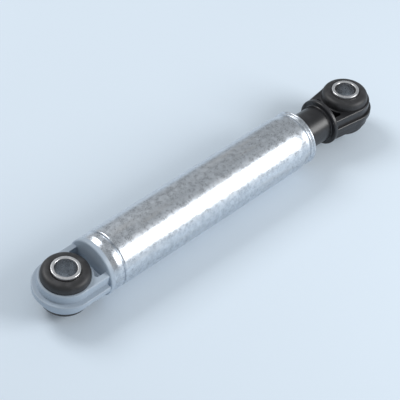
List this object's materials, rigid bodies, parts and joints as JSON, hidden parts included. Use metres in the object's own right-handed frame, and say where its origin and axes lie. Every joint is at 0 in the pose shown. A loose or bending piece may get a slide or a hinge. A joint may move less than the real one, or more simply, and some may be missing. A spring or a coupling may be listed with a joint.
{
  "type": "washing machine shock absorber",
  "caption": "Friction damper for a washing machine drum: a steel tube with a moulded eye, and a sliding plunger that carries the other eye.",
  "frame": {"origin": "middle of the lower eye's bolt hole", "axes": "+X along the tube towards the upper eye, +Z along the lower eye's bolt"},
  "size_m": [0.2123, 0.03, 0.0284],
  "materials": {
    "zinc_steel": "zinc plated, bright, with a fine mottled sheen",
    "grey_plastic": "light grey moulded plastic, satin",
    "black_plastic": "black moulded plastic, satin to glossy",
    "rubber": "black rubber, satin",
    "sleeve_steel": "bright turned ends",
    "cage_plastic": "natural white moulded plastic",
    "greased_foam": "cream foam strip soaked in grease",
    "ring_plastic": "dark grey moulded plastic"
  },
  "bodies": {
    "housing": {"tube": "zinc_steel", "lower_eye": "grey_plastic", "lower_bush": "rubber", "cage_top": "cage_plastic", "cage_bottom": "cage_plastic", "friction_lining": "greased_foam"},
    "lower_bolt_sleeve": {"lower_sleeve": "sleeve_steel"},
    "rod_stop": {"stop_ring": "ring_plastic"},
    "plunger": {"plunger": "black_plastic", "upper_bush": "rubber"},
    "upper_bolt_sleeve": {"upper_sleeve": "sleeve_steel"}
  },
  "joints": [
    {"name": "plunger_slide", "type": "slide", "parent": "housing", "child": "rod_stop", "axis": [1, 0, 0], "range_m": [-0.016, 0.074]},
    {"name": "plunger_twist", "type": "hinge", "parent": "rod_stop", "child": "plunger", "pos_m": [0.0488, 0, 0], "axis": [1, 0, 0], "continuous": true},
    {"name": "lower_sleeve_turn", "type": "hinge", "parent": "housing", "child": "lower_bolt_sleeve", "pos_m": [0, 0, 0], "axis": [0, 0, 1], "range_deg": [-15, 15], "stiffness_Nm_per_rad": 2},
    {"name": "upper_sleeve_turn", "type": "hinge", "parent": "plunger", "child": "upper_bolt_sleeve", "pos_m": [0.1835, 0, 0], "axis": [0, 0.0872, 0.9962], "range_deg": [-15, 15], "stiffness_Nm_per_rad": 2}
  ]
}
